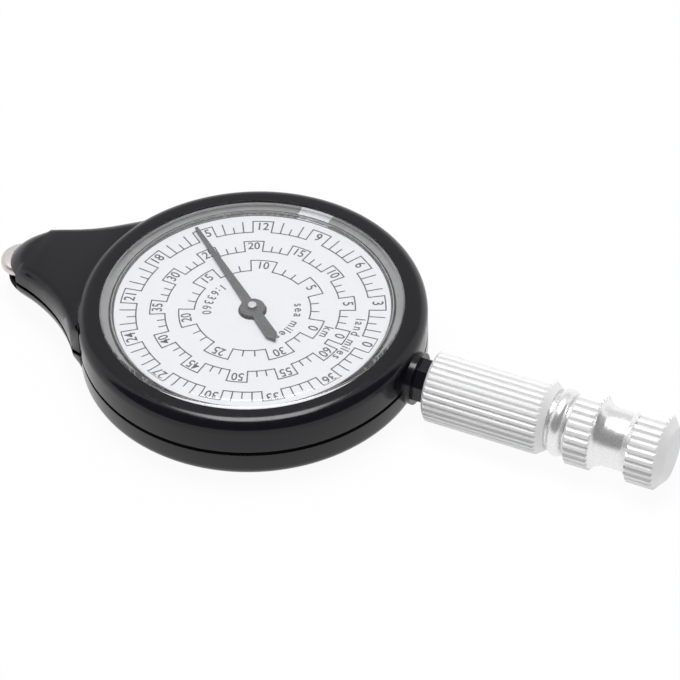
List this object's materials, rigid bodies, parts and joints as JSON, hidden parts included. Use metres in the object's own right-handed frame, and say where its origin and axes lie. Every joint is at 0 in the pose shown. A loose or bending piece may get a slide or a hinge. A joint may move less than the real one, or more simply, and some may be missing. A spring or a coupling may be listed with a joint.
{
  "type": "opisometer",
  "caption": "Pocket map measurer with a round dial case, a beak that holds a small tracking wheel, a gear train, a centre hand and a knurled metal handle.",
  "frame": {"origin": "centre of the flat back of the case, on the axis of the hand and under the dial", "axes": "+X along the handle, away from the tracking wheel; +Z out of the dial, along the axis of the hand; +Y completes the frame"},
  "size_m": [0.1045, 0.05, 0.011],
  "materials": {
    "case_plastic": "satin moulded black plastic",
    "ring_plastic": "matt dark grey",
    "clear_window": "clear polished",
    "dial_white": "white card with grey printing",
    "plate_brass": "stamped brass",
    "gear_brass": "cut brass",
    "arbor_steel": "bright turned steel",
    "screw_steel": "zinc plated",
    "hand_grey": "matt dark grey paint",
    "wheel_metal": "satin turned metal",
    "handle_metal": "bright turned and knurled"
  },
  "bodies": {
    "case": {"front_case": "case_plastic", "rear_cover": "case_plastic", "case_screws": "screw_steel", "crystal": "clear_window", "seat_ring": "ring_plastic", "dial": "dial_white", "front_plate": "plate_brass", "front_plate_screws": "screw_steel", "centre_bush": "gear_brass", "back_plate": "plate_brass", "pillars": "gear_brass", "back_plate_screws": "screw_steel", "handle_sleeve": "handle_metal", "handle_knob": "handle_metal", "handle_stud": "screw_steel"},
    "hand_group": {"hand": "hand_grey", "hand_hub": "hand_grey", "centre_arbor": "arbor_steel", "centre_wheel": "gear_brass"},
    "second_group": {"second_wheel": "gear_brass", "second_arbor": "arbor_steel", "third_pinion": "arbor_steel"},
    "first_group": {"first_wheel": "gear_brass", "first_arbor": "arbor_steel", "second_pinion": "arbor_steel"},
    "wheel_group": {"tracking_wheel": "wheel_metal", "wheel_axle": "arbor_steel", "wheel_pinion": "arbor_steel"}
  },
  "joints": [
    {"name": "hand_turn", "type": "hinge", "parent": "case", "child": "hand_group", "pos_m": [0, 0, 0.006], "axis": [0, 0, 1], "continuous": true},
    {"name": "second_turn", "type": "hinge", "parent": "case", "child": "second_group", "pos_m": [-0.0195, 0, 0.006], "axis": [0, 0, 1], "continuous": true},
    {"name": "first_turn", "type": "hinge", "parent": "case", "child": "first_group", "pos_m": [-0.03256, 0, 0.006], "axis": [0, 0, 1], "continuous": true},
    {"name": "wheel_turn", "type": "hinge", "parent": "case", "child": "wheel_group", "pos_m": [-0.0376, 0, 0.006], "axis": [0, 0, 1], "continuous": true}
  ],
  "couplings": [
    {"joint": "second_turn", "follows": "hand_turn", "ratio": -4},
    {"joint": "first_turn", "follows": "hand_turn", "ratio": 14},
    {"joint": "wheel_turn", "follows": "hand_turn", "ratio": -49}
  ]
}
